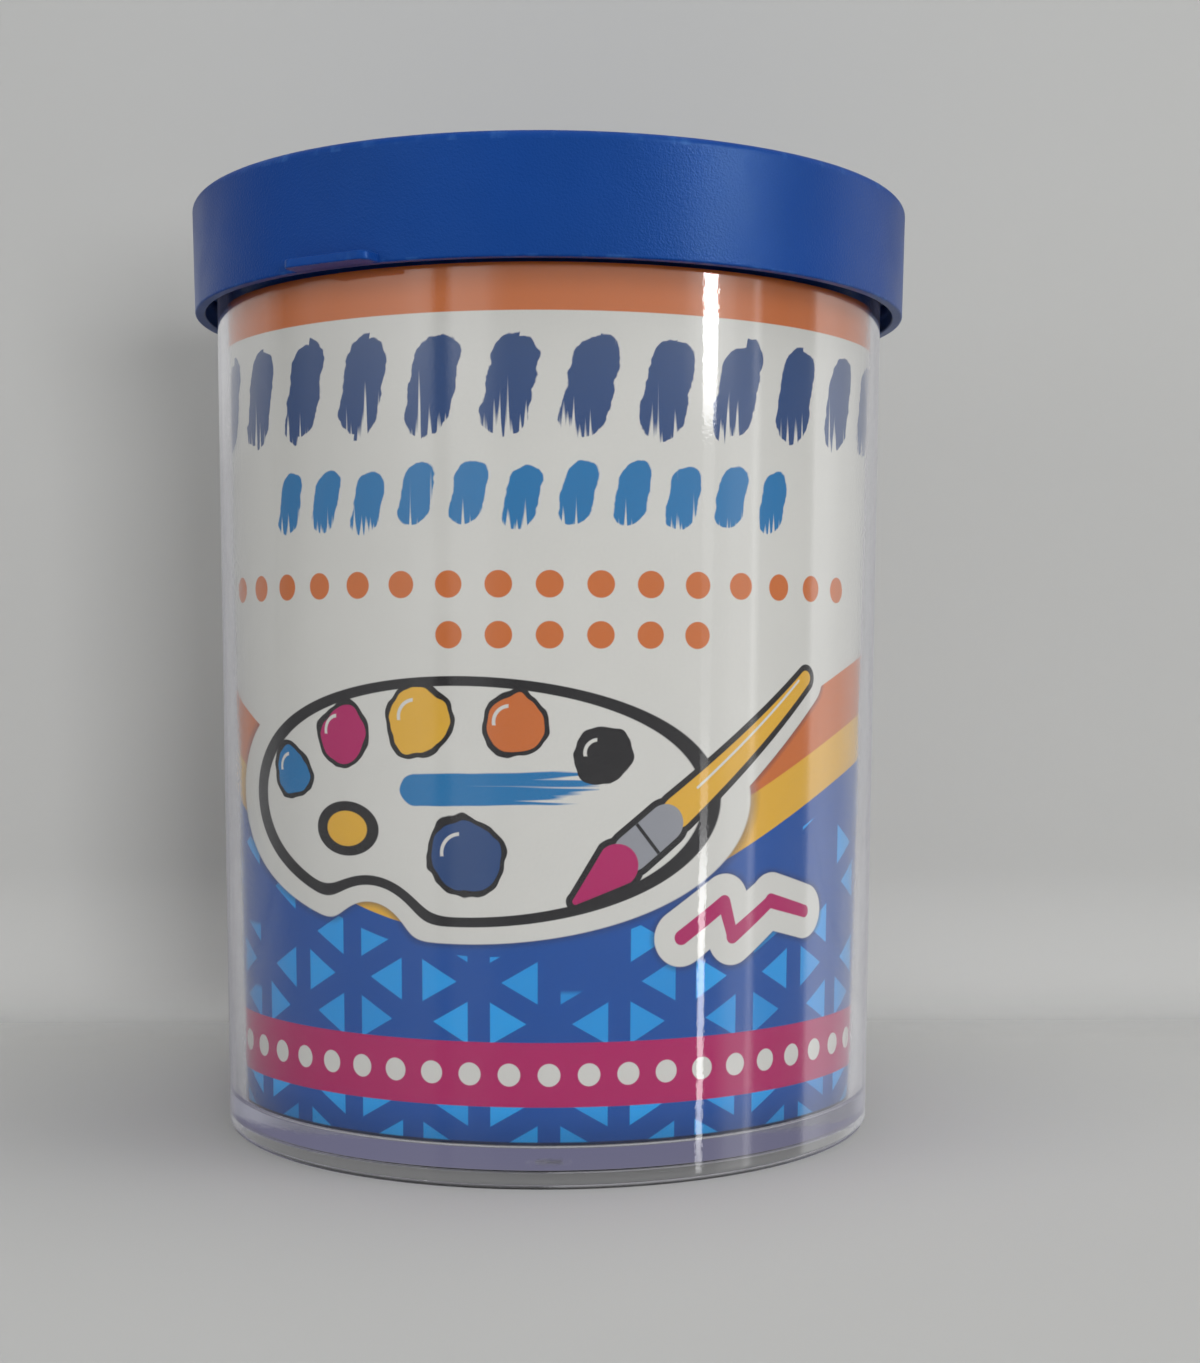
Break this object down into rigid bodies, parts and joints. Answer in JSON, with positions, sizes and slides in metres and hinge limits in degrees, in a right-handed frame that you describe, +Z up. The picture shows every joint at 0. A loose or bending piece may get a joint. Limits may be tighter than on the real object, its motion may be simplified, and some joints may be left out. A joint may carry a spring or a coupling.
{
  "type": "paint cup with lid",
  "caption": "Clear no-spill paint cup with a printed paper sleeve, an inverted funnel lid with a brush hole, and a tight cap with a pry tab.",
  "frame": {"origin": "centre of the foot ring, on the plane that the cup stands on", "axes": "+Z up along the cup's axis, -Y towards the front of the print, +X to the right seen from the front"},
  "size_m": [0.075, 0.075, 0.095],
  "materials": {
    "clear_plastic": "clear moulded polystyrene",
    "printed_paper": "matt paper, printed in colour on its outer face",
    "lid_plastic": "satin moulded polypropylene",
    "cap_plastic": "satin moulded polyethylene with a fine texture"
  },
  "bodies": {
    "cup": {"cup": "clear_plastic", "paper_insert": "printed_paper"},
    "inverted_lid": {"inverted_lid": "lid_plastic"},
    "cap": {"cap": "cap_plastic"}
  },
  "joints": [
    {"name": "lid_lift", "type": "slide", "parent": "cup", "child": "inverted_lid", "axis": [0, 0, 1], "range_m": [0, 0.045]},
    {"name": "cap_lift", "type": "slide", "parent": "inverted_lid", "child": "cap", "axis": [0, 0, 1], "range_m": [0, 0.03]}
  ]
}
